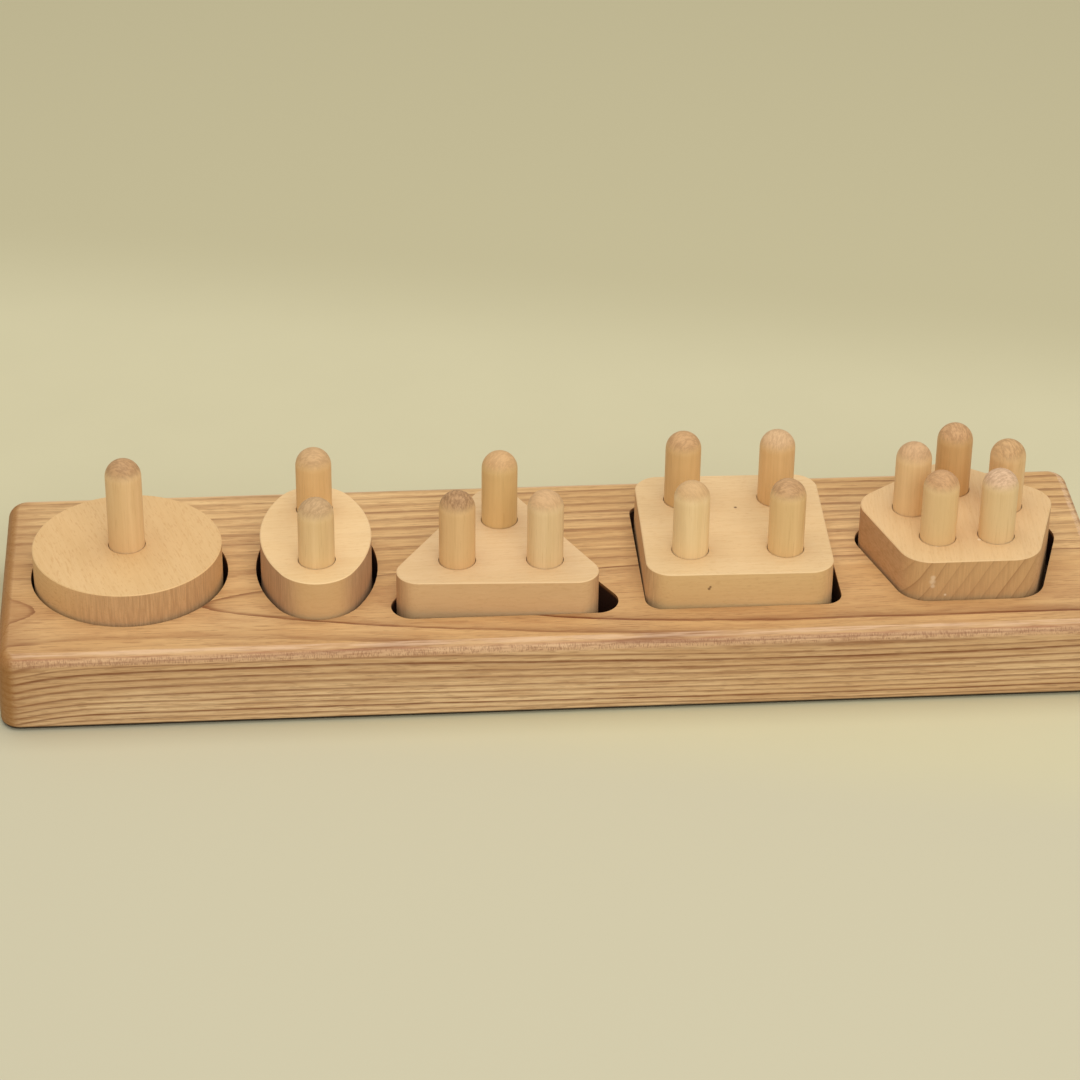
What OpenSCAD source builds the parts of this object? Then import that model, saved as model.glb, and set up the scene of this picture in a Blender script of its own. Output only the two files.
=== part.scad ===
// Wooden shape and counting board.
// Five loose blocks stand in pockets of their own shape, and are drilled for one to five round-topped pegs.
// Millimetres. The origin is the middle of the underside, X runs along the board, Y to the back and Z up.

/* [Board] */
// Wood left under the pockets
floor_h = 17; // [8:0.5:30]
// Depth of the pockets
pocket_depth = 18; // [10:0.5:30]
// Wood left in front of and behind the deepest pocket
rim = 20.5; // [12:0.5:40]
// Wood left of the round pocket
left_end = 12; // [8:0.5:40]
// Wood right of the pentagon pocket
right_end = 15.5; // [8:0.5:40]
// Wood between the round and oval pockets
round_oval_web = 11.5; // [3:0.5:30]
// Wood between the oval and triangle pockets
oval_triangle_web = 4.2; // [3:0.1:30]
// Wood between the triangle and square pockets
triangle_square_web = 11; // [3:0.5:30]
// Wood between the square and pentagon pockets
square_pentagon_web = 11.7; // [3:0.1:30]
// Radius of the rounded top edge
top_round = 5.5; // [1:0.5:10]
// Radius of the rounded bottom edge
bottom_round = 3; // [0.5:0.5:6]
// Upright corner radius beyond the top edge's radius
corner_extra = 3; // [0.5:0.5:20]

/* [Round block] */
// Diameter of the round block
round_d = 78.5; // [50:0.5:110]
// Height of the round block
round_h = 32.2; // [24:0.1:50]
// Depth of the round block's hole
round_hole_depth = 9.5; // [6:0.5:22]
// Play around the round block in its pocket
round_play = 1.75; // [0.8:0.05:4]

/* [Oval block] */
// Width of the oval block
oval_w = 46.4; // [34:0.2:70]
// Length of the oval block
oval_l = 76.4; // [62:0.2:110]
// Height of the oval block
oval_h = 35; // [26:0.5:50]
// Distance between the oval block's holes, as a share of its length
oval_spread = 0.52; // [0.36:0.01:0.6]
// Depth of the oval block's holes
oval_hole_depth = 21; // [6:0.5:24]
// Play around the oval block in its pocket
oval_play = 2.3; // [0.8:0.05:4]

/* [Triangle block] */
// Height of the triangle block's outline, from a flat side to the rounded corner facing it
triangle_depth = 74.8; // [60:0.2:100]
// Corner radius of the triangle block
triangle_corner = 9.5; // [3:0.5:15]
// Height of the triangle block
triangle_h = 33.1; // [26:0.1:50]
// Distance of the triangle block's holes from the middle of their pattern, as a share of its outline's height
triangle_spread = 0.28; // [0.18:0.01:0.3]
// Distance that the triangle block's holes are drilled to the right of its middle
triangle_ring_x = 1.6; // [-2:0.1:2]
// Depth of the triangle block's holes
triangle_hole_depth = 17.3; // [6:0.1:24]
// Play around the triangle block in its pocket
triangle_play = 3.1; // [0.8:0.05:4]
// Corner radius that the cutter leaves in the triangle pocket
triangle_pocket_corner = 9.5; // [3:0.5:12]

/* [Square block] */
// Side of the square block
square_side = 78; // [60:0.5:110]
// Corner radius of the square block
square_corner = 10.5; // [3:0.5:20]
// Height of the square block
square_h = 33.5; // [26:0.1:50]
// Distance between the square block's holes, as a share of its side
square_spread = 0.51; // [0.32:0.01:0.6]
// Depth of the square block's holes
square_hole_depth = 17.3; // [6:0.1:24]
// Play around the square block in its pocket
square_play = 2; // [0.8:0.05:4]
// Corner radius that the cutter leaves in the square pocket
square_pocket_corner = 7.5; // [3:0.5:12]

/* [Pentagon block] */
// Depth of the pentagon block's outline, from a flat side to the rounded corner facing it
pentagon_depth = 78.5; // [64:0.5:110]
// Corner radius of the pentagon block
pentagon_corner = 13.5; // [3:0.5:20]
// Height of the pentagon block
pentagon_h = 36; // [26:0.1:50]
// Distance of the pentagon block's holes from its middle, as a share of its outline's depth
pentagon_spread = 0.267; // [0.21:0.001:0.3]
// Depth of the pentagon block's holes
pentagon_hole_depth = 18.6; // [6:0.1:24]
// Play around the pentagon block in its pocket
pentagon_play = 1.9; // [0.8:0.05:4]
// Corner radius that the cutter leaves in the pentagon pocket
pentagon_pocket_corner = 13.5; // [3:0.5:14]

/* [Pegs] */
// Diameter of the pegs
peg_d = 15; // [8:0.5:18]
// Length of the pegs, dome included
peg_l = 50; // [36:0.5:80]
// Play between a peg and the wall of its hole
peg_play = 0.3; // [0.3:0.05:0.8]
// Width of the eased edges of the blocks and of the pegs' feet
ease = 0.4; // [0.3:0.1:2]

/* [Loose fit] */
// Place of the round block in its pocket, as a share of its play, to the right and to the back
round_place = [-0.3, -0.1]; // [-0.6:0.1:0.6]
// Place of the oval block in its pocket
oval_place = [-0.1, -0.5]; // [-0.6:0.1:0.6]
// Place of the triangle block in its pocket
triangle_place = [-0.7, -0.4]; // [-0.7:0.1:0.7]
// Turn of the triangle block in its pocket, as a share of its play at a corner
triangle_turn = -0.65; // [-0.65:0.05:0.65]
// Place of the square block in its pocket
square_place = [-0.5, -0.4]; // [-0.5:0.1:0.5]
// Turn of the square block in its pocket
square_turn = -0.5; // [-0.5:0.05:0.5]
// Place of the pentagon block in its pocket
pentagon_place = [-0.4, -0.1]; // [-0.6:0.1:0.6]

/* [Hidden] */
$fn = 96;
// Cuts pass this far beyond the face that they open
over = 1;
// Straight sides stand this little inside the corner arcs and run this far past their centres,
// so that each side and arc cross cleanly
blend = 0.02;
lap = 0.3;
// Rounded edges are cut this little high, so that they meet the flat faces at a slight angle
rise = 0.05;
board_colour = [0.76, 0.58, 0.36];
block_colour = [0.90, 0.75, 0.52];
peg_colour = [0.84, 0.66, 0.43];

board_h = floor_h + pocket_depth;
board_corner = top_round + corner_extra;
hole_d = peg_d + 2 * peg_play;

// Distance from the middle to a flat side of a regular outline whose depth is given
function apothem(n, depth, corner) = (depth - corner + corner / cos(180 / n)) / (1 + 1 / cos(180 / n));
// Distance from the middle to the farthest point of a rounded corner
function reach(n, side, corner) = (side - corner) / cos(180 / n) + corner;
// Points on a circle, evenly spaced, anticlockwise from a first angle
function ring(n, r, first = 90) = [for (i = [0 : n - 1]) let (a = first + i * 360 / n) r * [cos(a), sin(a)]];
// Centres of the corner arcs of a regular outline, with a flat side to the front
function corners(n, side, corner) = ring(n, (side - corner) / cos(180 / n), 180 / n - 90);
// Overall width and depth of a rounded outline
function width(points, corner) = max([for (p = points) p.x]) - min([for (p = points) p.x]) + 2 * corner;
function depth(points, corner) = max([for (p = points) p.y]) - min([for (p = points) p.y]) + 2 * corner;
// Shift that puts a rounded outline's depth evenly about the board's middle line
function middle(points) = -(max([for (p = points) p.y]) + min([for (p = points) p.y])) / 2;
// Sum of a list's first items
function total(list, count) = count == 0 ? 0 : list[count - 1] + total(list, count - 1);
// Turn that uses a share of the play at the corners
function turn(share, play, reach) = share * atan(play / reach);

triangle_side = apothem(3, triangle_depth, triangle_corner);
pentagon_side = apothem(5, pentagon_depth, pentagon_corner);

triangle_points = corners(3, triangle_side, triangle_corner);
square_points = corners(4, square_side / 2, square_corner);
pentagon_points = corners(5, pentagon_side, pentagon_corner);

triangle_pocket = corners(3, triangle_side + triangle_play, triangle_pocket_corner);
square_pocket = corners(4, square_side / 2 + square_play, square_pocket_corner);
pentagon_pocket = corners(5, pentagon_side + pentagon_play, pentagon_pocket_corner);

// The pockets from left to right
pocket_w = [
    round_d + 2 * round_play,
    oval_w + 2 * oval_play,
    width(triangle_pocket, triangle_pocket_corner),
    width(square_pocket, square_pocket_corner),
    width(pentagon_pocket, pentagon_pocket_corner),
];
pocket_d = [
    round_d + 2 * round_play,
    oval_l + 2 * oval_play,
    depth(triangle_pocket, triangle_pocket_corner),
    depth(square_pocket, square_pocket_corner),
    depth(pentagon_pocket, pentagon_pocket_corner),
];
pocket_y = [0, 0, middle(triangle_pocket), middle(square_pocket), middle(pentagon_pocket)];
wood_left = [left_end, round_oval_web, oval_triangle_web, triangle_square_web, square_pentagon_web];
board_l = total(pocket_w, len(pocket_w)) + total(wood_left, len(wood_left)) + right_end;
board_w = max(pocket_d) + 2 * rim;
pocket_x = [
    for (i = [0 : len(pocket_w) - 1])
        total(pocket_w, i) + pocket_w[i] / 2 + total(wood_left, i + 1) - board_l / 2
];

// The blocks in the pockets, in the same order
block_h = [round_h, oval_h, triangle_h, square_h, pentagon_h];
hole_depth = [round_hole_depth, oval_hole_depth, triangle_hole_depth, square_hole_depth, pentagon_hole_depth];
block_shift = [
    round_place * round_play,
    oval_place * oval_play,
    triangle_place * triangle_play,
    square_place * square_play,
    pentagon_place * pentagon_play,
];
block_turn = [
    0,
    0,
    turn(triangle_turn, triangle_play, reach(3, triangle_side, triangle_corner)),
    turn(square_turn, square_play, reach(4, square_side / 2, square_corner)),
    0,
];
holes = [
    [[0, 0]],
    ring(2, oval_l * oval_spread / 2),
    [for (p = ring(3, triangle_depth * triangle_spread)) p + [triangle_ring_x, 0]],
    ring(4, square_side * square_spread / sqrt(2), 90 + 180 / 4),
    ring(5, pentagon_depth * pentagon_spread),
];

block_names = ["round_block", "oval_block", "triangle_block", "square_block", "pentagon_block"];
peg_names = [
    ["round_peg"],
    ["oval_peg_back", "oval_peg_front"],
    ["triangle_peg_back", "triangle_peg_left", "triangle_peg_right"],
    ["square_peg_back_left", "square_peg_front_left", "square_peg_front_right", "square_peg_back_right"],
    [
        "pentagon_peg_back",
        "pentagon_peg_left",
        "pentagon_peg_front_left",
        "pentagon_peg_front_right",
        "pentagon_peg_right",
    ],
];

// Half section of a slab's edge: its wall stands at r, and its edges are eased at 45 degrees.
// It can start inside its centre and run past the slab's flat faces
module edge_section(r, h, ease, inner = 0, spare = 0) {
    flat = r - ease - spare;
    polygon([
        [-inner, -spare],
        [flat, -spare],
        [r, ease],
        [r, h - ease],
        [flat, h + spare],
        [-inner, h + spare],
    ]);
}

// The same with rounded edges
module round_section(r, h, top, bottom, inner = 0, spare = 0) {
    difference() {
        translate([-inner, -spare])
            square([r + inner, h + 2 * spare]);
        translate([r - top, h - top + rise])
            edge_waste(top, spare);
        translate([r - bottom, bottom - rise])
            mirror([0, 1])
                edge_waste(bottom, spare);
    }
}

// What rounding takes off an edge
module edge_waste(r, spare) {
    difference() {
        square(r + spare + over);
        circle(r);
    }
}

// Keeps what lies between a slab's flat faces
module planed(h, reach) {
    intersection() {
        union()
            children();
        linear_extrude(h)
            square(2 * (reach + over), center = true);
    }
}

// Slab with a rounded outline: its edge section runs along each side and turns about each corner's centre
module slab(points, corner, h, ease = 0) {
    n = len(points);
    planed(h, max([for (p = points) norm(p)]) + corner) {
        translate([0, 0, -lap])
            linear_extrude(h + 2 * lap)
                polygon(points);
        for (i = [0 : n - 1]) {
            along = points[(i + 1) % n] - points[i];
            translate(points[(i + 1) % n])
                rotate([0, 0, atan2(along.y, along.x)])
                    rotate([90, 0, -90])
                        translate([0, 0, -lap])
                            linear_extrude(norm(along) + 2 * lap)
                                edge_section(corner - blend, h, ease, over, 2 * lap);
        }
        for (p = points)
            translate(p)
                rotate_extrude()
                    edge_section(corner, h, ease, 0, 3 * lap);
    }
}

// Slab with a four-centred oval outline, grown evenly by an amount all round:
// two long arcs cross, and a short arc rounds each end
module oval_slab(w, l, h, grow = 0, ease = 0) {
    diagonal = norm([w, l]) / 2;
    end_r = diagonal * (diagonal - (l - w) / 2) / l;
    side_r = diagonal * (diagonal + (l - w) / 2) / w;
    end_y = l / 2 - end_r;
    side_x = side_r - w / 2;
    meet_y = end_y + (end_r + grow - ease / 2) * sin(atan2(end_y, side_x));
    planed(h, l / 2 + grow) {
        intersection() {
            intersection_for (s = [-1, 1])
                translate([s * side_x, 0])
                    rotate_extrude()
                        edge_section(side_r + grow - blend, h, ease, 0, (3 + s) * lap / 2);
            translate([0, 0, -over])
                linear_extrude(h + 2 * over)
                    square([w + 2 * (grow + over), 2 * meet_y], center = true);
        }
        for (s = [-1, 1])
            translate([0, s * end_y])
                rotate_extrude()
                    edge_section(end_r + grow, h, ease, 0, 3 * lap);
    }
}

// Puts its children where a block stands, with the block's underside on the pocket's floor
module in_pocket(i) {
    translate([pocket_x[i] + block_shift[i].x, pocket_y[i] + block_shift[i].y, floor_h])
        rotate(block_turn[i])
            children();
}

// A bar as wide as the plank, with the plank's rounded edges along it
module plank_bar(half_l, half_w, spare) {
    for (s = [0, 180])
        rotate(s)
            translate([-half_l - lap, 0, 0])
                rotate([90, 0, 90])
                    linear_extrude(2 * (half_l + lap))
                        translate([half_w, 0])
                            round_section(board_corner - blend, board_h,
                                top_round, bottom_round, half_w, spare);
}

// The plain plank: two bars cross, and the same section turns about each corner's centre
module plank() {
    half = [board_l / 2 - board_corner, board_w / 2 - board_corner];
    planed(board_h, board_l / 2) {
        plank_bar(half.x, half.y, over);
        rotate(90)
            plank_bar(half.y, half.x, 2 * over);
        for (x = [-half.x, half.x], y = [-half.y, half.y])
            translate([x, y])
                rotate_extrude()
                    round_section(board_corner, board_h, top_round, bottom_round, 0, 3 * over);
    }
}

module board() {
    cut_h = pocket_depth + over;
    color(board_colour)
        difference() {
            plank();
            translate([pocket_x[0], pocket_y[0], floor_h])
                cylinder(d = pocket_w[0], h = cut_h);
            translate([pocket_x[1], pocket_y[1], floor_h])
                oval_slab(oval_w, oval_l, cut_h, oval_play);
            translate([pocket_x[2], pocket_y[2], floor_h])
                slab(triangle_pocket, triangle_pocket_corner, cut_h);
            translate([pocket_x[3], pocket_y[3], floor_h])
                slab(square_pocket, square_pocket_corner, cut_h);
            translate([pocket_x[4], pocket_y[4], floor_h])
                slab(pentagon_pocket, pentagon_pocket_corner, cut_h);
        }
}

// Drills a block's blind holes, and stands the block in its pocket
module drilled(i) {
    color(block_colour)
        in_pocket(i)
            difference() {
                children();
                for (p = holes[i])
                    translate([p.x, p.y, block_h[i] - hole_depth[i]])
                        cylinder(d = hole_d, h = hole_depth[i] + over);
            }
}

module round_block() {
    drilled(0)
        rotate_extrude()
            edge_section(round_d / 2, round_h, ease);
}

module oval_block() {
    drilled(1)
        oval_slab(oval_w, oval_l, oval_h, 0, ease);
}

module triangle_block() {
    drilled(2)
        slab(triangle_points, triangle_corner, triangle_h, ease);
}

module square_block() {
    drilled(3)
        slab(square_points, square_corner, square_h, ease);
}

module pentagon_block() {
    drilled(4)
        slab(pentagon_points, pentagon_corner, pentagon_h, ease);
}

// Half section of a peg, with a round top and an eased foot
module peg_section() {
    r = peg_d / 2;
    difference() {
        edge_section(r, peg_l + ease, ease);
        translate([0, peg_l - r])
            edge_waste(r, over);
    }
}

// A round-topped peg, standing on the floor of a block's hole
module peg(i, k) {
    color(peg_colour)
        in_pocket(i)
            translate([holes[i][k].x, holes[i][k].y, block_h[i] - hole_depth[i]])
                rotate_extrude()
                    peg_section();
}

board();
round_block();
oval_block();
triangle_block();
square_block();
pentagon_block();
for (i = [0 : len(peg_names) - 1])
    for (k = [0 : len(peg_names[i]) - 1])
        peg(i, k);
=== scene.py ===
import math
from collections import namedtuple

import bpy
from mathutils import Matrix, Vector


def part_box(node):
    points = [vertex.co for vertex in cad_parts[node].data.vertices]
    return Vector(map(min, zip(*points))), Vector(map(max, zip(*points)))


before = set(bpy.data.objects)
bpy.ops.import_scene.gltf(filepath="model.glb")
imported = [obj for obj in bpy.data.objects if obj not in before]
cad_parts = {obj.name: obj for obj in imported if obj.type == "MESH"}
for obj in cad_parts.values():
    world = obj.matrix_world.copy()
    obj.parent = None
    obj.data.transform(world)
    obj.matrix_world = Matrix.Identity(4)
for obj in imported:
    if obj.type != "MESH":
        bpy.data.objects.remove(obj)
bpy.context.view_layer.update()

MM = 0.001

# The pegs in the frame's own order, which gives each one its seed.
PEGS = [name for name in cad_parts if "_peg" in name]

# The board's left end, front, right end, back and top, in millimetres. Its underside is at height 0.
PLANK_LOW, PLANK_HIGH = (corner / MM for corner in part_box("board"))
LEFT, FRONT = PLANK_LOW.x, PLANK_LOW.y
RIGHT, BACK, TOP = PLANK_HIGH

# A noise in the wood: how fast it changes along each axis, per millimetre, its seed, how many finer layers it
# has and how strong they are.
Noise = namedtuple("Noise", "pace seed detail roughness", defaults=(0.0, 2.0, 0.5))


def tone(red, green, blue):
    """A colour given as it looks on a screen, 0 to 255, turned into scene-linear values."""
    def channel(value):
        part = value / 255
        return part / 12.92 if part <= 0.04045 else ((part + 0.055) / 1.055) ** 2.4
    return (channel(red), channel(green), channel(blue), 1.0)


def scaled(colour, gain):
    """A colour made lighter or darker, channel by channel where gain is a triple."""
    gains = gain if isinstance(gain, tuple) else (gain, gain, gain)
    return tuple(min(1.0, c * g) for c, g in zip(colour, gains)) + (1.0,)


class Surface:
    """A material under construction. Lengths in it are millimetres in the part's own frame."""

    bump_strength = 0.35
    spot_fade = 0.5

    def __init__(self, name, specular=0.3):
        self.material = bpy.data.materials.new(name)
        self.material.use_nodes = True
        self.tree = self.material.node_tree
        self.shader = self.tree.nodes["Principled BSDF"]
        self.shader.inputs["Specular IOR Level"].default_value = specular
        coords = self.node("ShaderNodeTexCoord").outputs
        self.point = self.vector("SCALE", coords["Object"], scale=1 / MM)
        self.normal = coords["Normal"]

    def node(self, kind, **settings):
        made = self.tree.nodes.new(kind)
        for key, value in settings.items():
            setattr(made, key, value)
        return made

    def feed(self, socket, value):
        """Gives a socket another node's output or a constant. None leaves it as it is."""
        if isinstance(value, bpy.types.NodeSocket):
            self.tree.links.new(value, socket)
        elif value is not None:
            socket.default_value = value

    def math(self, operation, a, b=None, c=None):
        made = self.node("ShaderNodeMath", operation=operation)
        for socket, value in zip(made.inputs, (a, b, c)):
            self.feed(socket, value)
        return made.outputs[0]

    def plus(self, a, b):
        return self.math("ADD", a, b)

    def minus(self, a, b):
        return self.math("SUBTRACT", a, b)

    def times(self, product, *factors):
        for factor in factors:
            product = self.math("MULTIPLY", product, factor)
        return product

    def vector(self, operation, a, b=None, scale=None):
        made = self.node("ShaderNodeVectorMath", operation=operation)
        self.feed(made.inputs[0], a)
        self.feed(made.inputs[1], b)
        if scale is not None:
            self.feed(made.inputs["Scale"], scale)
        return made.outputs["Value" if operation == "LENGTH" else "Vector"]

    def split(self, vector):
        made = self.node("ShaderNodeSeparateXYZ")
        self.feed(made.inputs[0], vector)
        return made.outputs

    def join(self, x, y, z):
        made = self.node("ShaderNodeCombineXYZ")
        for socket, value in zip(made.inputs, (x, y, z)):
            self.feed(socket, value)
        return made.outputs[0]

    def turned(self, vector, angle):
        """A vector turned about the upright axis."""
        made = self.node("ShaderNodeVectorRotate", rotation_type="Z_AXIS")
        self.feed(made.inputs["Vector"], vector)
        made.inputs["Angle"].default_value = angle
        return made.outputs[0]

    def noise(self, point, kind, seed=0.0):
        """A noise from 0 to 1. The seed of a piece is added to the noise's own."""
        made = self.node("ShaderNodeTexNoise", noise_dimensions="4D")
        self.feed(made.inputs["Vector"], self.vector("MULTIPLY", point, kind.pace))
        made.inputs["W"].default_value = kind.seed + seed
        made.inputs["Scale"].default_value = 1.0
        made.inputs["Detail"].default_value = kind.detail
        made.inputs["Roughness"].default_value = kind.roughness
        return made.outputs[0]

    def chance(self, value):
        """One value from 0 to 1 for each whole number."""
        made = self.node("ShaderNodeTexWhiteNoise", noise_dimensions="1D")
        self.feed(made.inputs["W"], value)
        return made.outputs["Value"]

    def step(self, value, start, end, low=0.0, high=1.0):
        """Goes smoothly from low to high while the value goes from start to end."""
        made = self.node("ShaderNodeMapRange", interpolation_type="SMOOTHSTEP")
        for socket, item in zip(made.inputs, (value, start, end, low, high)):
            self.feed(socket, item)
        return made.outputs[0]

    def band(self, value, start, full, fade, end):
        """Rises from 0 to 1 between start and full, and falls to 0 again between fade and end."""
        return self.times(self.step(value, start, full), self.step(value, end, fade))

    def ramp(self, value, stops):
        """Straight pieces between stops, each a place from 0 to 1 and the level there."""
        made = self.node("ShaderNodeValToRGB")
        elements = made.color_ramp.elements
        while len(elements) < len(stops):
            elements.new(0.5)
        for element, (place, level) in zip(elements, stops):
            element.position = place
            element.color = (level, level, level, 1.0)
        self.feed(made.inputs[0], value)
        return made.outputs[0]

    def mix(self, share, a, b):
        """A colour part of the way from one to another."""
        made = self.node("ShaderNodeMix", data_type="RGBA")
        self.feed(made.inputs[0], share)
        self.feed(made.inputs[6], a)
        self.feed(made.inputs[7], b)
        return made.outputs[2]

    def tint(self, colour, over, mask, strength):
        """A colour with another laid over it where the mask is, as strongly as given."""
        return self.mix(self.times(mask, strength), colour, over)

    def blend(self, share, a, b):
        """A value part of the way from one to another."""
        return self.math("MULTIPLY_ADD", self.minus(b, a), share, a)

    def spot(self, place, reach, radius):
        """1 near a place, fading out about a radius. Reach is how much a distance along each axis counts."""
        away = self.vector("MULTIPLY", self.vector("SUBTRACT", self.point, place), reach)
        fade = radius * self.spot_fade
        return self.step(self.vector("LENGTH", away), radius + fade, radius - fade)

    def finish(self, colour, roughness, height, depth):
        """Joins the colour, the roughness and fine relief of a given depth to the shader."""
        self.feed(self.shader.inputs["Base Color"], colour)
        self.feed(self.shader.inputs["Roughness"], roughness)
        bump = self.node("ShaderNodeBump")
        bump.inputs["Strength"].default_value = self.bump_strength
        bump.inputs["Distance"].default_value = depth * MM
        self.feed(bump.inputs["Height"], height)
        self.tree.links.new(bump.outputs[0], self.shader.inputs["Normal"])
        return self.material


# The tree's middle runs along the plank, below its front half.
PITH_Y, PITH_Z = FRONT + 35.53, -62.0
# The plank's year rings, found by laying them over the grain lines in the photograph: how far from the tree's
# middle, in millimetres, each counted year ends. The count starts late enough to stay above zero.
RINGS = [
    (55.0, -9.3), (76.5, 0.0), (81.1, 2.0), (83.9, 3.0), (87.5, 4.0), (90.4, 5.0), (93.9, 6.0), (96.55, 7.0),
    (99.6, 8.0), (103.4, 9.0), (124.25, 15.0), (135.0, 18.0),
]
RING_WIDTH = 3.0
PLANK_START_YEAR = 20.0
# How a year's growth darkens, from its start at 0 to its end at 1.
PLANK_YEAR = [
    (0.0, 0.12), (0.1, 0.0), (0.35, 0.05), (0.55, 0.2), (0.68, 0.5), (0.76, 1.0), (0.93, 1.0), (1.0, 0.12),
]
# The rings' climb along the plank, in its front half and in its back half, and where one gives way to the
# other.
CREST_RUN, CREST_RISE = (LEFT + 35.3, LEFT + 330.3), 6.3
BACK_RUN, BACK_RISE = (LEFT - 69.7, LEFT + 350.3), 3.3
CREST_TO_BACK = (FRONT + 52.5, FRONT + 77.5)
# Their bow at the left end, on the top and down the front face.
BOW_START, TOP_BOW, FACE_BOW = LEFT + 40.3, 0.0007, 0.0026
# Their sway down the front face: the length of its wave, its size at the underside and what it gains for each
# millimetre up, their even climb there, and how far down and in the face takes over from the top.
FACE_WAVE, FACE_SWAY, FACE_SWAY_GAIN, FACE_CLIMB = 480.0, 0.27, 0.063, 1.0
FACE_DOWN, FACE_IN = (TOP - 1.0, TOP - 6.0), (FRONT + 26.0, FRONT + 6.0)
# Their small wandering, and how far beside the tree's middle it is calm and full.
SWAY = Noise((0.02, 0.08, 0.08), seed=3.1)
WAVER = Noise((0.09, 0.7, 0.7), seed=7.7)
SWAY_SIZE, WAVER_SIZE = 0.7, 0.3
WANDER_ASIDE, CALM_SHARE = (4.0, 32.0), 0.25

# The lines on the top above the tree's middle: how far beside it the rings count as flat, how wide the soft
# shade before a line is, and the line itself, which is broader at the left.
FLAT_ASIDE, LEAST_SLOPE = (34.0, 18.0), 0.04
LINE_SHADE, SHADE_STRENGTH = 10.0, 0.42
LINE_CORE, LINE_EDGE, LINE_STRENGTH = 0.6, (1.9, 3.4), 0.9
BROAD_RUN = (LEFT + 160.3, LEFT + 110.3)
# Where the lines are fainter: on the back half of the top, most of all at the left, in the nearly plain left
# part of the strip before the pockets, and on the left end.
FAINT_RUN, FAINT_SHARES = (LEFT + 80.3, LEFT + 270.3), (0.52, 0.76)
PLAIN_RUN = (LEFT + 6.3, LEFT + 22.3, LEFT + 95.3, LEFT + 135.3)
PLAIN_IN, PLAIN_SHARE = (FRONT + 26.5, FRONT + 20.5), 0.4
LEFT_END_SHARE = 0.5
PATCH = Noise((0.016, 0.1, 0.1), seed=1.3)
BROKEN = Noise((0.11, 0.9, 0.9), seed=6.6)

# Redder heartwood high up in the front half, paler sapwood at the back left, and darker wood towards the left
# end.
HEART_IN, HEART_UP = (FRONT + 56.5, FRONT + 34.5), (TOP - 25.0, TOP - 11.0)
SAP_RUN, SAP_IN = (LEFT + 290.3, LEFT + 70.3), (FRONT + 57.5, FRONT + 82.5)
LEFT_RUN = (LEFT + 19.0, LEFT)
# The pockets lie within these distances of the board's middle and between these heights.
POCKETS_X = (RIGHT - 5.0, RIGHT - 7.0)
POCKETS_Y = (BACK - 9.0, BACK - 11.0)
POCKETS_Z = (4.0, 6.0, TOP - 2.2, TOP - 0.1)
# Faces, by how much of their normal points up or, for the left end, to the right.
FACES_UP, FACES_DOWN, FACES_LEFT = (0.5, 0.98), (-0.12, -0.45), (-0.02, -0.5)
# Bands of the rounded top edge, by how much of the normal points up.
RIM, SEAM, TORN_ROW = (0.76, 0.9, 0.97, 0.999), (0.62, 0.7, 0.74, 0.82), (0.1, 0.3, 0.6, 0.8)

PLANK_HAIR = Noise((0.03, 3.2, 0.06), seed=5.0, roughness=0.6)
PLANK_PORE = Noise((0.12, 2.1, 2.1), seed=0.4, roughness=0.6)
PLANK_FIBRE = Noise((0.03, 1.1, 1.1), seed=5.0, detail=4.0, roughness=0.75)
PLANK_CLOUD = Noise((0.007, 0.04, 0.04), seed=9.0)
EDGE_STREAK = Noise((0.05, 1.2, 1.2), seed=8.4, roughness=0.6)
EDGE_TICK = Noise((2.8, 0.6, 0.6), seed=2.2, detail=1.0, roughness=0.6)
EDGE_GRIT = Noise((0.25, 0.9, 0.9), seed=4.2)
PLANK_ROUGHNESS = (0.5, 0.72)

# The board's colours: two of the top and two, paler, of the other faces, then what is laid over them.
TOP_TONES = tone(233, 192, 132), tone(219, 175, 114)
SIDE_TONES = tone(243, 208, 159), tone(229, 190, 140)
SAPWOOD = tone(246, 206, 146)
HEARTWOOD = tone(198, 150, 98)
FIBRE_BROWN = tone(188, 139, 90)
HAIR_BROWN = tone(176, 124, 77)
LINE_BROWN = tone(122, 66, 30)
PORE_BROWN = tone(128, 78, 44)
RIM_PALE_HIGHLIGHT = tone(236, 198, 161)
SEAM_RED = tone(158, 92, 62)
ROW_PALE = tone(214, 168, 130)
TORN_BROWN = tone(144, 94, 62)
LEFT_RUN_BROWN = tone(160, 108, 58)
LEFT_END_BROWN = tone(152, 98, 32)
UNDERSIDE_SHADE = tone(32, 19, 11)
POCKET = tone(46, 24, 20)


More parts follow.
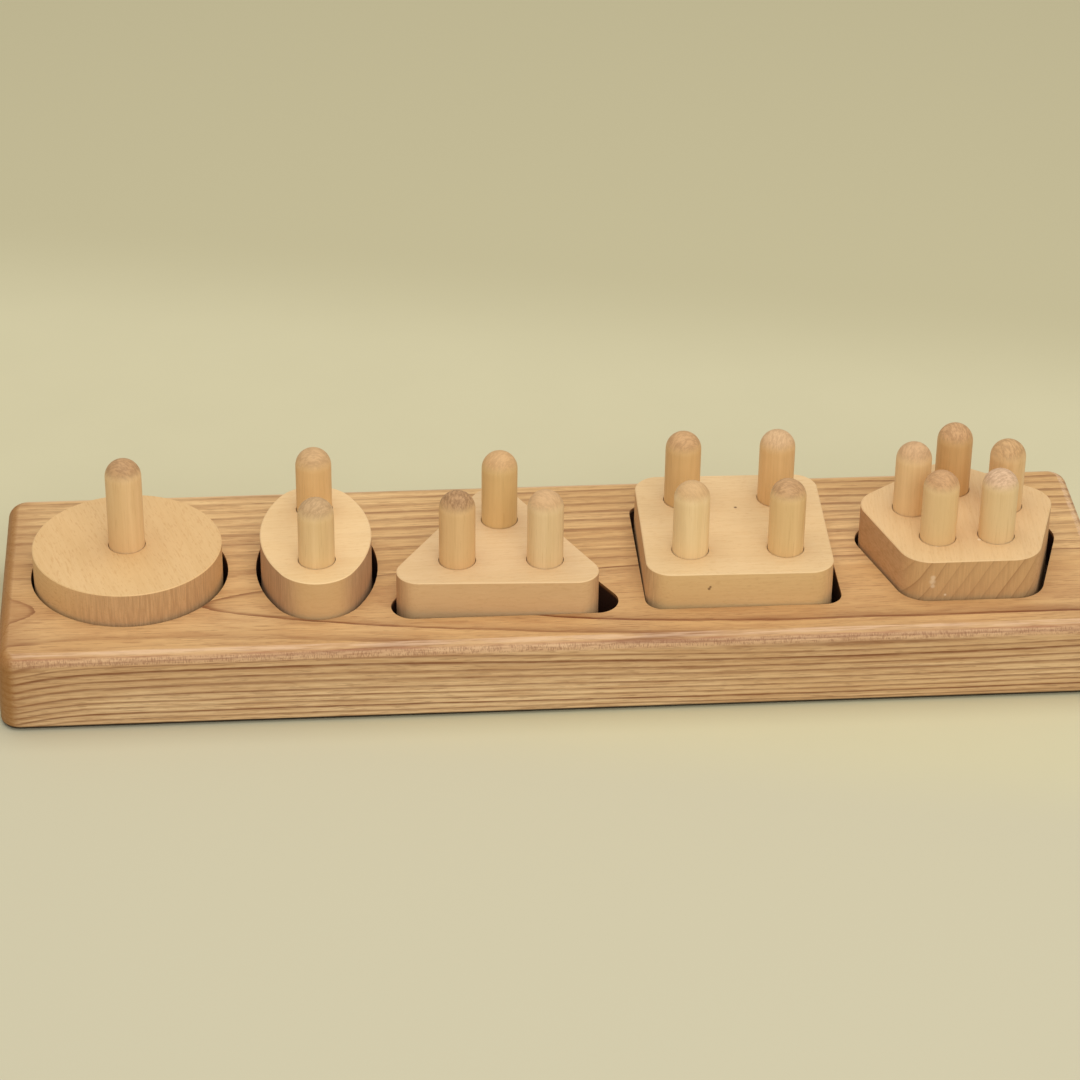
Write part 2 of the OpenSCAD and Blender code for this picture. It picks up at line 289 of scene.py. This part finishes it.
def plank_years(w):
    """Years of growth at a point of the plank: rings about a line below its front half."""
    x, y, z = w.split(w.point)
    across = w.minus(y, PITH_Y)
    above = w.minus(z, PITH_Z)
    radius = w.math("SQRT", w.plus(w.math("POWER", across, 2.0), w.math("POWER", above, 2.0)))

    # The rings climb along the plank, most of all in its front half, and bow up again at the left end.
    bow = w.math("POWER", w.math("MAXIMUM", w.minus(BOW_START, x), 0.0), 2.0)
    crest = w.plus(w.step(x, *CREST_RUN, high=CREST_RISE), w.times(bow, TOP_BOW))
    back = w.step(x, *BACK_RUN, high=BACK_RISE)
    climb = w.blend(w.step(y, *CREST_TO_BACK), crest, back)
    # Down the front face they only sway, more at the top than at the bottom.
    wave = w.math("SINE", w.times(x, math.tau / FACE_WAVE))
    swing = w.times(wave, w.plus(w.times(z, FACE_SWAY_GAIN), FACE_SWAY))
    fall = w.plus(w.times(bow, FACE_BOW), swing)
    face = w.times(w.step(z, *FACE_DOWN), w.step(y, *FACE_IN))
    climb = w.blend(face, climb, w.minus(FACE_CLIMB, fall))
    radius = w.minus(radius, climb)

    # Where the rings lie flat in the top they wander less, or a small step would move a line far.
    sway = w.minus(w.noise(w.point, SWAY), 0.5)
    waver = w.minus(w.noise(w.point, WAVER), 0.5)
    wander = w.plus(w.times(sway, SWAY_SIZE), w.times(waver, WAVER_SIZE))
    steady = w.step(w.math("ABSOLUTE", across), *WANDER_ASIDE, low=CALM_SHARE)
    radius = w.plus(radius, w.times(wander, steady))

    (near, first), (far, last) = RINGS[0], RINGS[-1]
    place = w.math("DIVIDE", w.minus(radius, near), far - near)
    share = w.ramp(place, [((r - near) / (far - near), (year - first) / (last - first)) for r, year in RINGS])
    return w.plus(w.times(share, last - first), first + PLANK_START_YEAR)


def plank_lines(w, years, top, left_end, heart):
    """How strongly a point of the plank shows the dark line that ends a year's growth."""
    x, y, _ = w.split(w.point)
    age = w.math("FRACT", years)
    late = w.ramp(age, PLANK_YEAR)
    # Above the tree's middle the rings lie flat, so a line's width there is measured across the face instead.
    aside = w.math("ABSOLUTE", w.minus(y, PITH_Y))
    slope = w.math("MAXIMUM", w.math("DIVIDE", aside, TOP - PITH_Z), LEAST_SLOPE)
    gap = w.times(w.minus(1.0, age), w.math("DIVIDE", RING_WIDTH, slope))
    edge = w.step(x, *BROAD_RUN, *LINE_EDGE)
    thin = w.plus(w.step(gap, LINE_SHADE, 0.0, high=SHADE_STRENGTH),
                  w.step(gap, edge, LINE_CORE, high=LINE_STRENGTH))
    late = w.blend(w.times(top, w.step(aside, *FLAT_ASIDE)), late, thin)

    # No two lines are alike, and none is even along its length.
    strong = w.step(w.chance(w.math("FLOOR", years)), 0.0, 1.0, low=0.62)
    patch = w.step(w.noise(w.point, PATCH), 0.3, 0.6, low=0.8)
    broken = w.step(w.noise(w.point, BROKEN), 0.35, 0.6, low=0.75)
    line = w.times(late, strong, patch, broken)
    behind = w.minus(top, w.times(top, heart))
    line = w.times(line, w.blend(behind, 1.0, w.step(x, *FAINT_RUN, *FAINT_SHARES)))
    plain = w.times(w.band(x, *PLAIN_RUN), w.step(y, *PLAIN_IN), top)
    line = w.times(line, w.step(plain, 0.0, 1.0, 1.0, PLAIN_SHARE))
    return w.times(line, w.step(left_end, 0.0, 1.0, 1.0, LEFT_END_SHARE))


def routed_edge(w, colour, upward, left_end):
    """Rounded top edge: a pale streaky rim, partly painted highlight, a thin red line under it and a row of
    fine torn fibres.
    """
    streak = w.noise(w.point, EDGE_STREAK)
    # The pale rim is partly the shoulder's paler wood and partly painted highlight.
    rim = w.times(w.band(upward, *RIM), w.step(streak, 0.4, 0.58, 0.12, 0.5))
    colour = w.mix(w.times(rim, w.step(left_end, 0.0, 0.4, 1.0, 0.1)), colour, RIM_PALE_HIGHLIGHT)
    seam = w.times(w.band(upward, *SEAM), w.step(streak, 0.45, 0.6, 0.1, 0.5))
    colour = w.mix(seam, colour, SEAM_RED)
    row = w.band(upward, *TORN_ROW)
    colour = w.tint(colour, ROW_PALE, row, strength=0.3)
    tick = w.step(w.noise(w.point, EDGE_TICK), 0.47, 0.56)
    grit = w.step(w.noise(w.point, EDGE_GRIT), 0.36, 0.52)
    torn = w.times(tick, row, grit)
    return w.tint(colour, TORN_BROWN, torn, strength=0.5), torn


def pocket_darkening(w, upward):
    """The pockets' walls and floors made nearly black, a little less on their floors than on their walls."""
    x, y, z = w.split(w.point)
    inside = w.times(w.step(w.math("ABSOLUTE", y), *POCKETS_Y), w.step(w.math("ABSOLUTE", x), *POCKETS_X))
    return w.times(inside, w.band(z, *POCKETS_Z), w.step(upward, 0.5, 0.9, 0.96, 0.88))


def board_wood():
    """Plank with plain year rings: each darkens slowly to a crisp line. Worn shoulders with a pale rim that
    is partly painted highlight, painted shade underneath, and dark pockets.
    """
    w = Surface("board_wood")
    x, y, z = w.split(w.point)
    sideways, _, upward = w.split(w.normal)
    top = w.step(upward, *FACES_UP)
    left_end = w.step(sideways, *FACES_LEFT)
    heart = w.times(w.step(y, *HEART_IN), w.step(z, *HEART_UP))
    sap = w.times(w.step(x, *SAP_RUN), w.step(y, *SAP_IN))

    years = plank_years(w)
    line = plank_lines(w, years, top, left_end, heart)
    hair = w.noise(w.join(x, years, y), PLANK_HAIR)
    pore = w.step(w.noise(w.point, PLANK_PORE), 0.53, 0.64)
    fibre = w.noise(w.point, PLANK_FIBRE)
    cloud = w.step(w.noise(w.point, PLANK_CLOUD), 0.35, 0.65)

    colour = w.mix(top, w.mix(cloud, *SIDE_TONES), w.mix(cloud, *TOP_TONES))
    colour = w.tint(colour, SAPWOOD, sap, strength=0.4)
    colour = w.tint(colour, HEARTWOOD, heart, strength=0.4)
    colour = w.tint(colour, FIBRE_BROWN, w.step(fibre, 0.42, 0.62), strength=0.42)
    colour = w.tint(colour, HAIR_BROWN, w.step(hair, 0.45, 0.64), strength=0.34)
    colour = w.tint(colour, LINE_BROWN, line, strength=0.92)
    colour = w.tint(colour, PORE_BROWN, pore, strength=0.34)
    colour, torn = routed_edge(w, colour, upward, left_end)
    # The wood is darker towards the left end, and the left end itself is darkened most, partly the wood's own
    # tone and partly painted shade.
    colour = w.tint(colour, LEFT_RUN_BROWN, w.step(x, *LEFT_RUN), strength=0.42)
    colour = w.tint(colour, LEFT_END_BROWN, left_end, strength=0.66)
    # Painted shade: the rounded lower edge and the underside are darkened almost to black.
    colour = w.tint(colour, UNDERSIDE_SHADE, w.step(upward, *FACES_DOWN), strength=0.97)
    colour = w.mix(pocket_darkening(w, upward), colour, POCKET)

    roughness = w.step(w.plus(pore, fibre), 0.2, 1.2, *PLANK_ROUGHNESS)
    height = w.minus(w.times(fibre, 0.6), w.plus(w.times(line, 0.2), pore))
    height = w.minus(height, w.times(torn, 0.6))
    return w.finish(colour, roughness, height, depth=0.1)


BLOCK_LOOKS = {
    # grain: way of the fibres; lean: slope of the year rings; ring: their spacing; drawn: how plainly they
    # show on the sides and on the top; top: colour of the top; side, end: the long sides and the sawn ends,
    # as shares of that colour, where darker partly the wood's own tone and partly painted shade; flecks:
    # speckle;
    # streaks, fibres: how plainly the sawn ends and the long sides are streaked
    "round_block": dict(grain=1.88, lean=0.35, ring=9.0, drawn=(0.05, 0.04), top=(228, 188, 131),
                        side=(1.03, 1.00, 0.98), end=(0.86, 0.80, 0.84), flecks=0.39, streaks=1.0,
                        fibres=0.3, seed=1.7),
    "oval_block": dict(grain=0.06, lean=1.2, ring=8.0, drawn=(0.06, 0.05), top=(239, 204, 150),
                       side=(0.86, 0.78, 0.71), end=(0.68, 0.59, 0.61), flecks=0.21, streaks=0.9,
                       fibres=0.3, seed=4.1),
    "triangle_block": dict(grain=0.05, lean=0.9, ring=16.0, drawn=(0.10, 0.06), top=(229, 194, 144),
                           side=(0.98, 0.92, 0.88), end=(0.80, 0.70, 0.66), flecks=0.21, streaks=0.9,
                           fibres=0.3, seed=6.3),
    "square_block": dict(grain=0.0, lean=0.25, ring=14.0, drawn=(0.06, 0.06), top=(231, 197, 145),
                         side=(0.98, 0.93, 0.83), end=(0.92, 0.84, 0.79), flecks=0.26, streaks=0.9,
                         fibres=0.3, seed=8.9),
    "pentagon_block": dict(grain=1.5, lean=-0.52, ring=5.6, drawn=(0.78, 0.10), top=(229, 192, 139),
                           side=(0.835, 0.755, 0.75), end=(0.885, 0.80, 0.72), flecks=0.23, streaks=0.45,
                           fibres=0.9, seed=12.4),
}
# How a year's growth darkens in a block, how far its rings wander and where their count starts.
BLOCK_YEAR = [(0.0, 0.0), (0.55, 0.12), (0.86, 0.5), (0.95, 1.0), (1.0, 0.1)]
BLOCK_WANDER = 5.0
BLOCK_START_YEAR = 40.0
# Noises along a block's fibres. The last runs up and down its sawn ends.
BLOCK_SWAY = Noise((0.012, 0.03, 0.03))
BLOCK_FIBRE = Noise((0.04, 0.9, 0.9), seed=1.0, detail=4.0, roughness=0.7)
BLOCK_FLECK = Noise((0.33, 1.7, 1.7), seed=2.0)
BLOCK_CLOUD = Noise((0.018, 0.045, 0.045), seed=3.0)
BLOCK_STREAK = Noise((1.5, 1.5, 0.08), seed=4.0, detail=3.0, roughness=0.7)
# How much lighter or darker than the plain wood each sort of grain is.
CLEAR_TOP, CLEAR_SIDE, CLOUDY = (1.01, 1.01, 1.02), 1.02, (0.96, 0.94, 0.91)
FIBRE_TOP, FIBRE_SIDE = (0.86, 0.79, 0.69), (0.86, 0.80, 0.72)
SAWN_LIGHT, SAWN_DARK = 1.06, (0.82, 0.78, 0.75)
FLECK_DARK, RING_DARK, WORN_SHEEN_LIGHT = (0.74, 0.60, 0.46), (0.50, 0.38, 0.30), 1.14
BLOCK_ROUGHNESS, SAWN_ROUGHER = (0.5, 0.62), 0.12
# A block's upright faces and the band along its eased upper edge, lightened partly as wear and partly as
# painted highlight, by how much of the normal points up, and its sawn ends, by how much of it points along
# the fibres.
UPRIGHT, WORN_SHEEN, SAWN = (0.8, 0.4), (0.15, 0.4, 0.85, 0.97), (0.35, 0.95)

# Small marks in the blocks' wood: face, place in millimetres, radius, strength, colour. A place is counted
# from the middle of the top, or from the middle of the front's upper edge. A mark reaches some way into its
# face.
MARK_REACH = {"top": (1.0, 1.0, 0.2), "front": (1.0, 0.2, 1.0)}
PALE_FIBRE = tone(250, 226, 188)
DARK_SPOT = tone(96, 58, 30)
MARKS = {
    "square_block": [
        ("top", (2.57, 12.6, 0.0), 0.6, 0.85, DARK_SPOT),
        ("front", (-13.83, 0.0, -6.2), 0.5, 0.75, DARK_SPOT),
        ("front", (-14.33, 0.0, -7.1), 0.6, 0.75, DARK_SPOT),
    ],
    "pentagon_block": [
        ("top", (-13.88, -26.78, 0.0), 0.8, 0.8, PALE_FIBRE),
        ("top", (-11.88, -26.88, 0.0), 0.6, 0.8, PALE_FIBRE),
        ("top", (4.62, -22.98, 0.0), 0.7, 0.8, PALE_FIBRE),
        ("top", (16.72, -25.18, 0.0), 0.7, 0.8, PALE_FIBRE),
        ("front", (-16.98, 0.0, -7.6), 1.0, 0.45, PALE_FIBRE),
        ("front", (-17.08, 0.0, -9.6), 1.2, 0.45, PALE_FIBRE),
        ("front", (-16.88, 0.0, -11.8), 0.9, 0.45, PALE_FIBRE),
        ("front", (-11.38, 0.0, -16.2), 0.5, 0.7, PALE_FIBRE),
    ],
}


def block_wood(name, grain, lean, ring, drawn, top, side, end, flecks, streaks, fibres, seed):
    """Fine pale wood: nearly plain top, deeper long sides and darker sawn ends with upright streaks; their
    depth is partly painted shade.
    """
    low, high = (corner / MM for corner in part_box(name))
    middle = (low + high) / 2
    w = Surface(name + "_wood")
    local = w.turned(w.vector("SUBTRACT", w.point, tuple(middle)), -grain)
    _, across, up = w.split(local)
    lengthwise, _, upward = w.split(w.turned(w.normal, -grain))
    sides = w.step(w.math("ABSOLUTE", upward), *UPRIGHT)
    ends = w.times(w.step(w.math("ABSOLUTE", lengthwise), *SAWN), sides)

    sway = w.minus(w.noise(local, BLOCK_SWAY, seed), 0.5)
    slant = w.minus(w.times(across, math.cos(lean)), w.times(up, math.sin(lean)))
    slant = w.plus(slant, w.times(sway, BLOCK_WANDER))
    years = w.plus(w.math("DIVIDE", slant, ring), BLOCK_START_YEAR)
    strong = w.step(w.chance(w.math("FLOOR", years)), 0.0, 1.0, low=0.5)
    drawn_sides, drawn_top = drawn
    late = w.times(w.ramp(w.math("FRACT", years), BLOCK_YEAR), strong,
                   w.step(sides, 0.0, 1.0, drawn_top, drawn_sides))
    # The rings are fainter on the long sides than on the sawn ends.
    late = w.times(late, w.step(w.minus(sides, ends), 0.0, 1.0, 1.0, 0.3))

    fibre = w.noise(local, BLOCK_FIBRE, seed)
    fleck = w.step(w.noise(local, BLOCK_FLECK, seed), 0.54, 0.68)
    cloud = w.noise(local, BLOCK_CLOUD, seed)
    cloudy = w.step(cloud, 0.3, 0.7)
    streak = w.noise(local, BLOCK_STREAK, seed)

    base = tone(*top)
    # Where the long sides and sawn ends are darker than the top, this is partly the wood's tone and partly
    # painted shade.
    long_side, sawn_end = scaled(base, side), scaled(base, end)
    colour = w.mix(cloudy, scaled(base, CLEAR_TOP), scaled(base, CLOUDY))
    colour = w.tint(colour, scaled(base, FIBRE_TOP), w.step(fibre, 0.42, 0.64), strength=0.3)
    flank = w.mix(cloudy, scaled(long_side, CLEAR_SIDE), scaled(long_side, CLOUDY))
    flank = w.tint(flank, scaled(long_side, FIBRE_SIDE), w.step(fibre, 0.42, 0.66), strength=fibres)
    sawn = w.mix(w.step(streak, 0.36, 0.64, 0.5 - streaks / 2, 0.5 + streaks / 2),
                 scaled(sawn_end, SAWN_LIGHT), scaled(sawn_end, SAWN_DARK))
    colour = w.mix(ends, w.mix(sides, colour, flank), sawn)
    colour = w.tint(colour, scaled(base, FLECK_DARK), fleck, strength=flecks)
    colour = w.mix(late, colour, scaled(base, RING_DARK))
    # The eased upper edge is lightened, partly as wear and partly as painted highlight.
    worn_sheen = w.times(w.band(upward, *WORN_SHEEN), w.step(cloud, 0.35, 0.6, 0.2, 0.55))
    colour = w.mix(worn_sheen, colour, scaled(base, WORN_SHEEN_LIGHT))
    starts = {"top": Vector((middle.x, middle.y, high.z)), "front": Vector((middle.x, low.y, high.z))}
    for face, place, radius, strength, shade in MARKS.get(name, []):
        spot = w.spot(tuple(starts[face] + Vector(place)), MARK_REACH[face], radius)
        colour = w.tint(colour, shade, spot, strength)

    roughness = w.plus(w.times(ends, SAWN_ROUGHER), w.step(fibre, 0.3, 0.7, *BLOCK_ROUGHNESS))
    height = w.minus(w.times(fibre, 0.5), w.times(fleck, 0.4))
    height = w.plus(height, w.times(streak, ends, 0.8))
    return w.finish(colour, roughness, height, depth=0.1)


PEG_LOOKS = {
    # shaft: colour of the long grain; dome: colour of the end grain; streaky: how mottled the dome is
    "round_peg": dict(shaft=(239, 201, 147), dome=(186, 143, 97), streaky=0.7),
    "oval_peg_back": dict(shaft=(235, 195, 137), dome=(203, 163, 114), streaky=0.5),
    "oval_peg_front": dict(shaft=(240, 205, 150), dome=(194, 157, 111), streaky=0.6),
    "triangle_peg_back": dict(shaft=(232, 197, 137), dome=(207, 163, 111), streaky=0.4),
    "triangle_peg_left": dict(shaft=(232, 191, 135), dome=(180, 138, 94), streaky=1.0),
    "triangle_peg_right": dict(shaft=(239, 206, 155), dome=(206, 164, 115), streaky=0.4),
    "square_peg_back_left": dict(shaft=(227, 188, 130), dome=(199, 155, 106), streaky=0.6),
    "square_peg_back_right": dict(shaft=(232, 192, 135), dome=(211, 172, 126), streaky=0.5),
    "square_peg_front_left": dict(shaft=(247, 215, 161), dome=(204, 163, 111), streaky=0.3),
    "square_peg_front_right": dict(shaft=(236, 199, 141), dome=(193, 149, 102), streaky=0.7),
    "pentagon_peg_back": dict(shaft=(219, 179, 122), dome=(200, 155, 107), streaky=0.7),
    "pentagon_peg_left": dict(shaft=(243, 207, 153), dome=(202, 160, 114), streaky=0.5),
    "pentagon_peg_front_left": dict(shaft=(237, 202, 147), dome=(197, 150, 102), streaky=0.6),
    "pentagon_peg_front_right": dict(shaft=(240, 208, 156), dome=(214, 176, 138), streaky=0.7),
    "pentagon_peg_right": dict(shaft=(234, 196, 143), dome=(201, 158, 106), streaky=0.7),
}
PEG_SEED_STEP = 2.3
PEG_STRIPE = Noise((0.16, 0.32, 0.008))
PEG_FIBRE = Noise((1.5, 1.5, 0.045), seed=1.0, detail=3.0, roughness=0.65)
PEG_PORE = Noise((1.8, 1.8, 0.09), seed=2.0)
PEG_MOTTLE = Noise((0.4, 1.1, 0.4), seed=3.0, detail=4.0, roughness=0.72)
# How much lighter or darker than the plain dowel each sort of grain is, on the shaft and on the dome.
STRIPE_LIGHT, STRIPE_DARK = 1.02, (0.94, 0.92, 0.88)
SHAFT_FIBRE, SHAFT_PORE = (0.84, 0.79, 0.71), (0.66, 0.58, 0.48)
MOTTLE_LIGHT, MOTTLE_DARK = (1.12, 1.13, 1.16), (0.66, 0.61, 0.58)
PEG_ROUGHNESS = (0.48, 0.66)
# A peg's dome, by how much of the normal points up.
CROWN = (0.05, 0.65)


def peg_wood(name, shaft, dome, streaky):
    """Dowel: fine upright fibres and broad soft stripes, with mottled end grain over the dome."""
    low, high = (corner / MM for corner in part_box(name))
    tip = ((low.x + high.x) / 2, (low.y + high.y) / 2, high.z)
    seed = PEG_SEED_STEP * PEGS.index(name)
    w = Surface(name + "_wood")
    # Each peg is turned by its own seed too, so that no two show the same side.
    local = w.turned(w.vector("SUBTRACT", w.point, tip), seed)

    stripe = w.step(w.noise(local, PEG_STRIPE, seed), 0.35, 0.65)
    fibre = w.noise(local, PEG_FIBRE, seed)
    pore = w.step(w.noise(local, PEG_PORE, seed), 0.58, 0.7)
    base = tone(*shaft)
    colour = w.mix(stripe, scaled(base, STRIPE_LIGHT), scaled(base, STRIPE_DARK))
    colour = w.tint(colour, scaled(base, SHAFT_FIBRE), w.step(fibre, 0.36, 0.7), strength=0.3)
    colour = w.tint(colour, scaled(base, SHAFT_PORE), pore, strength=0.24)

    _, _, upward = w.split(w.normal)
    crown = w.step(upward, *CROWN)
    mottle = w.step(w.noise(local, PEG_MOTTLE, seed), 0.4, 0.6, high=streaky)
    cap = tone(*dome)
    end_grain = w.mix(mottle, scaled(cap, MOTTLE_LIGHT), scaled(cap, MOTTLE_DARK))
    colour = w.tint(colour, end_grain, crown, strength=0.9)

    roughness = w.step(w.plus(w.times(crown, 0.4), fibre), 0.3, 1.1, *PEG_ROUGHNESS)
    height = w.minus(fibre, w.times(pore, 0.6))
    return w.finish(colour, roughness, height, depth=0.08)


def dress(name, material):
    """Gives a CAD node's object its wood."""
    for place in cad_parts[name].material_slots:
        place.material = material


FLOOR_REACH = 6.0
FLOOR_PALE = tone(212, 203, 165)
FLOOR_MOTTLE = Noise((0.02, 0.02, 0.02), detail=3.0)
# Painted shade: the sheet grows darker behind the board and darker and cooler in front of it, along lines a
# little askew to the board.
FLOOR_SKEW = 0.24
FLOOR_BEHIND, BEHIND_SHADE_GAIN = (BACK + 152.5, BACK + 279.5), (0.855, 0.845, 0.815)
FLOOR_BEFORE, BEFORE_SHADE_GAIN = (FRONT + 7.5, FRONT - 52.5), (0.937, 0.942, 1.02)


def floor():
    """Pale sheet under the board, with the faintest mottle of paper and painted shade towards its back and
    front.
    """
    mesh = bpy.data.meshes.new("floor")
    corners = [(x * FLOOR_REACH, y * FLOOR_REACH, 0) for x, y in ((-1, -1), (1, -1), (1, 1), (-1, 1))]
    mesh.from_pydata(corners, [], [(0, 1, 2, 3)])
    sheet = bpy.data.objects.new("floor", mesh)
    bpy.context.scene.collection.objects.link(sheet)
    w = Surface("floor_paper", specular=0.1)
    mottle = w.step(w.noise(w.point, FLOOR_MOTTLE), 0.3, 0.7)
    colour = w.mix(mottle, FLOOR_PALE, scaled(FLOOR_PALE, 0.985))
    x, y, _ = w.split(w.point)
    # Painted shade: darker behind the board, darker and cooler in front of it.
    away = w.plus(w.times(x, FLOOR_SKEW), y)
    colour = w.mix(w.step(away, *FLOOR_BEHIND), colour, scaled(FLOOR_PALE, BEHIND_SHADE_GAIN))
    colour = w.mix(w.step(away, *FLOOR_BEFORE), colour, scaled(FLOOR_PALE, BEFORE_SHADE_GAIN))
    w.feed(w.shader.inputs["Base Color"], colour)
    w.feed(w.shader.inputs["Roughness"], 0.9)
    mesh.materials.append(w.material)


def camera():
    """The photograph's viewpoint, found by fitting the part's outlines to it."""
    place = Vector((-0.113394, -1.275260, 0.854199))
    yaw, pitch, roll = 0.0842872, 0.5639727, -0.0137514
    focal, picture, film = 3609.157, 1080.0, 36.0
    forward = Vector((math.sin(yaw) * math.cos(pitch), math.cos(yaw) * math.cos(pitch), -math.sin(pitch)))
    level = Vector((math.cos(yaw), -math.sin(yaw), 0))
    down = forward.cross(level)
    right = math.cos(roll) * level + math.sin(roll) * down
    up = math.sin(roll) * level - math.cos(roll) * down
    data = bpy.data.cameras.new("camera")
    data.sensor_width = film
    data.lens = focal * film / picture
    seen = bpy.data.objects.new("camera", data)
    axes = Matrix((right, up, -forward)).transposed()
    seen.matrix_world = Matrix.Translation(place) @ axes.to_4x4()
    bpy.context.scene.collection.objects.link(seen)
    bpy.context.scene.camera = seen


def lamp(name, place, aim, size, power):
    """A soft rectangular lamp: place, aim and size in metres, power in watts."""
    data = bpy.data.lights.new(name, "AREA")
    data.shape = "RECTANGLE"
    data.size, data.size_y = size
    data.energy = power
    source = bpy.data.objects.new(name, data)
    source.location = place
    source.rotation_euler = (Vector(aim) - Vector(place)).to_track_quat("-Z", "Y").to_euler()
    bpy.context.scene.collection.objects.link(source)


def light():
    """Soft studio light: a broad ceiling, a broad front fill and an even surround."""
    world = bpy.data.worlds.new("studio")
    world.use_nodes = True
    surround = world.node_tree.nodes["Background"].inputs
    surround["Color"].default_value = (1.0, 1.0, 1.0, 1.0)
    surround["Strength"].default_value = 0.42
    bpy.context.scene.world = world
    lamp("ceiling", place=(0.0, 0.1, 1.9), aim=(0.0, 0.1, 0.0), size=(2.0, 1.6), power=20.5)
    lamp("front", place=(0.4, -2.0, 1.5), aim=(0.0, 0.0, 0.0), size=(1.8, 1.2), power=21.5)


camera()
light()
floor()
dress("board", board_wood())
for block, look in BLOCK_LOOKS.items():
    dress(block, block_wood(block, **look))
for peg in PEGS:
    dress(peg, peg_wood(peg, **PEG_LOOKS[peg]))

bpy.context.scene.view_settings.view_transform = "Standard"
